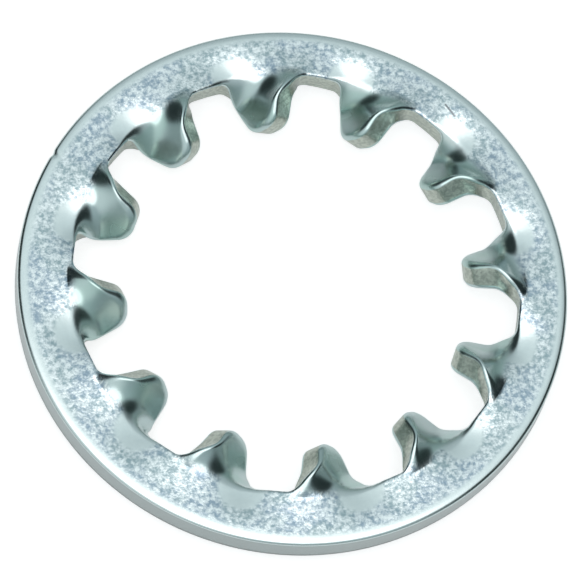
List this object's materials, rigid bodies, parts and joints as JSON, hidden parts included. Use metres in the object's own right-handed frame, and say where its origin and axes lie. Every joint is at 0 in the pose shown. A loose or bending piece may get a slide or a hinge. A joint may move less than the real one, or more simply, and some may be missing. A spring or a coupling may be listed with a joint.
{
  "type": "toothed lock washer",
  "caption": "Flat steel lock washer with twisted teeth round its hole, which bite into the screw head and the clamped face.",
  "frame": {"origin": "on the washer's axis, level with the lowest corners of the teeth it rests on", "axes": "+Z along the washer's axis, up from the face that meets the clamped part; +X along the middle of a tooth"},
  "size_m": [0.022, 0.022, 0.0023],
  "materials": {
    "zinc_plated_steel": "satin"
  },
  "bodies": {
    "root": {"lock_washer": "zinc_plated_steel"}
  },
  "joints": []
}
